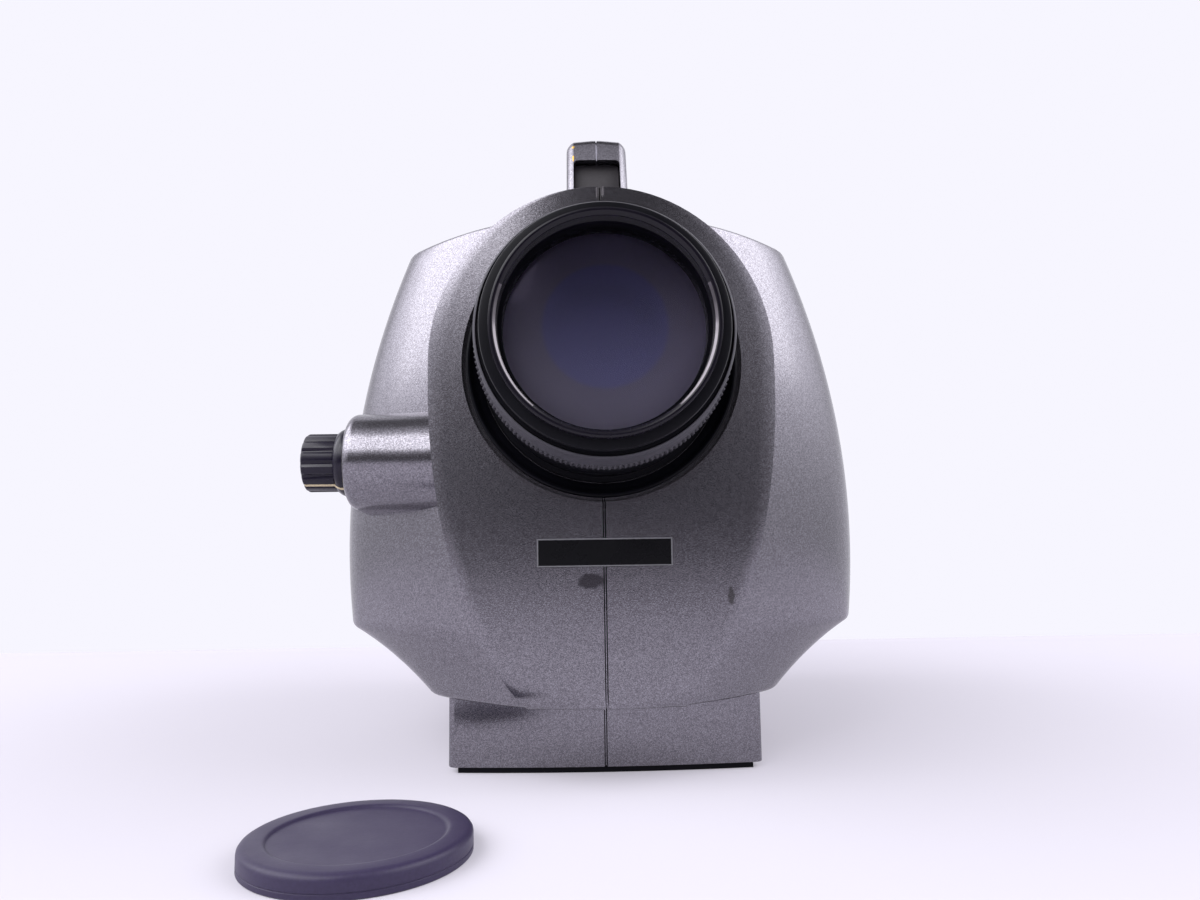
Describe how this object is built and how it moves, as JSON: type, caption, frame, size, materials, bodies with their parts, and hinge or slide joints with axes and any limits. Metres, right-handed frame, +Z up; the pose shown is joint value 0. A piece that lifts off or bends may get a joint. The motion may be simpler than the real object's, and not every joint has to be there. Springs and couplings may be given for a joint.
{
  "type": "spectroradiometer",
  "caption": "Bench light-measuring instrument with a focusing lens, side selector knob, carrying handle, rear finder, display and keys, and a loose lens cap.",
  "frame": {"origin": "middle of the base plate's underside, on the table", "axes": "+X to the right seen from the front, +Y from the lens towards the rear panel, +Z up"},
  "size_m": [0.2353, 0.3941, 0.2723],
  "materials": {
    "housing_paint": "fine textured gunmetal paint with a slight sparkle",
    "black_plastic": "glossy black moulding",
    "satin_black": "satin black paint on metal",
    "knurl_grey": "dark grey ribbed ring",
    "coated_glass": "polished, with a blue-violet coating",
    "clear_glass": "clear and polished",
    "plate_black": "smooth black, blank",
    "handle_dark": "dark grey moulding",
    "rubber": "soft black rubber",
    "steel": "turned steel",
    "mirrored": "front-silvered glass",
    "brass": "machined brass",
    "aluminium": "cast and machined aluminium",
    "black_anodised": "black anodised",
    "board_green": "solder-masked circuit board",
    "panel_plastic": "dark grey moulded panel",
    "key_plastic": "light grey key cap",
    "cap_plastic": "matt dark blue-grey moulding"
  },
  "bodies": {
    "housing": {"left_shell": "housing_paint", "right_shell": "housing_paint", "detector_array": "black_plastic", "dc_inlet": "black_plastic", "base_plate": "satin_black", "nose_ring": "satin_black", "lens_mount": "satin_black", "eyepiece_tube": "satin_black", "beam_splitter": "clear_glass", "display_window": "clear_glass", "name_plate": "plate_black", "handle_insert": "handle_dark", "foot_front_left": "rubber", "foot_front_right": "rubber", "foot_rear_left": "rubber", "foot_rear_right": "rubber", "eyecup": "rubber", "tripod_bush": "steel", "turret_spindle": "steel", "shutter_motor": "steel", "slit_plate": "steel", "data_socket": "steel", "fold_mirror": "mirrored", "grating": "mirrored", "knob_bush": "brass", "chassis": "aluminium", "detector_cooler": "aluminium", "turret_bracket": "black_anodised", "splitter_pedestal": "black_anodised", "mirror_bracket": "black_anodised", "spectrometer_case": "black_anodised", "spectrometer_cover": "black_anodised", "finder_tube": "black_anodised", "detector_board": "board_green", "power_board": "board_green", "main_board": "board_green", "display_board": "board_green", "rear_panel": "panel_plastic"},
    "focus_ring": {"focus_ring": "knurl_grey"},
    "front_barrel": {"front_barrel": "satin_black", "filter_ring": "satin_black", "front_lens": "coated_glass", "lens_stop": "satin_black", "rear_lens": "coated_glass"},
    "field_selector": {"field_knob": "black_plastic", "knob_shaft": "steel", "detent_wheel": "steel", "drive_gear": "brass"},
    "field_turret": {"field_turret": "black_anodised"},
    "dark_shutter": {"dark_shutter": "satin_black"},
    "dioptre_ring": {"dioptre_ring": "satin_black"},
    "eyepiece_lens": {"eyepiece_lens": "clear_glass"},
    "eyepiece_shutter": {"eyepiece_shutter": "satin_black"},
    "power_rocker": {"power_rocker": "black_plastic"},
    "key_1": {"key_1": "key_plastic"},
    "key_2": {"key_2": "key_plastic"},
    "key_3": {"key_3": "key_plastic"},
    "key_4": {"key_4": "key_plastic"},
    "key_5": {"key_5": "key_plastic"},
    "lens_cap": {"lens_cap": "cap_plastic"}
  },
  "joints": [
    {"name": "focus_ring_turn", "type": "hinge", "parent": "housing", "child": "focus_ring", "pos_m": [0, -0.1795, 0.1587], "axis": [0, 1, 0], "range_deg": [0, 300]},
    {"name": "front_barrel_slide", "type": "slide", "parent": "housing", "child": "front_barrel", "axis": [0, -1, 0], "range_m": [0, 0.012]},
    {"name": "field_knob_turn", "type": "hinge", "parent": "housing", "child": "field_selector", "pos_m": [-0.1, -0.1105, 0.1236], "axis": [1, 0, 0], "range_deg": [0, 270]},
    {"name": "field_turret_turn", "type": "hinge", "parent": "housing", "child": "field_turret", "pos_m": [-0.018, -0.1011, 0.1457], "axis": [1, 0, 0], "range_deg": [-270, 0]},
    {"name": "dark_shutter_swing", "type": "hinge", "parent": "housing", "child": "dark_shutter", "pos_m": [-0.0375, -0.0711, 0.1587], "axis": [1, 0, 0], "range_deg": [-38, 0]},
    {"name": "dioptre_ring_turn", "type": "hinge", "parent": "housing", "child": "dioptre_ring", "pos_m": [0, 0.1425, 0.1587], "axis": [0, 1, 0], "range_deg": [-150, 150]},
    {"name": "eyepiece_lens_slide", "type": "slide", "parent": "housing", "child": "eyepiece_lens", "axis": [0, 1, 0], "range_m": [-0.0015, 0.0015]},
    {"name": "eyepiece_shutter_swing", "type": "hinge", "parent": "housing", "child": "eyepiece_shutter", "pos_m": [0.01945, 0.1305, 0.17814], "axis": [0, -1, 0], "range_deg": [0, 60]},
    {"name": "power_rocker_tip", "type": "hinge", "parent": "housing", "child": "power_rocker", "pos_m": [-0.044, 0.1373, 0.062], "axis": [1, 0, 0], "range_deg": [-14, 0]},
    {"name": "key_1_press", "type": "slide", "parent": "housing", "child": "key_1", "axis": [0, -1, 0], "range_m": [0, 0.0015], "stiffness_N_per_m": 300},
    {"name": "key_2_press", "type": "slide", "parent": "housing", "child": "key_2", "axis": [0, -1, 0], "range_m": [0, 0.0015], "stiffness_N_per_m": 300},
    {"name": "key_3_press", "type": "slide", "parent": "housing", "child": "key_3", "axis": [0, -1, 0], "range_m": [0, 0.0015], "stiffness_N_per_m": 300},
    {"name": "key_4_press", "type": "slide", "parent": "housing", "child": "key_4", "axis": [0, -1, 0], "range_m": [0, 0.0015], "stiffness_N_per_m": 300},
    {"name": "key_5_press", "type": "slide", "parent": "housing", "child": "key_5", "axis": [0, -1, 0], "range_m": [0, 0.0015], "stiffness_N_per_m": 300},
    {"name": "lens_cap_lift", "type": "slide", "parent": "housing", "child": "lens_cap", "axis": [0, 0, 1], "range_m": [0, 0.06]}
  ],
  "couplings": [
    {"joint": "front_barrel_slide", "follows": "focus_ring_turn", "m_per_rad": 0.00229},
    {"joint": "field_turret_turn", "follows": "field_knob_turn", "ratio": -1},
    {"joint": "eyepiece_lens_slide", "follows": "dioptre_ring_turn", "m_per_rad": 0.00057}
  ]
}
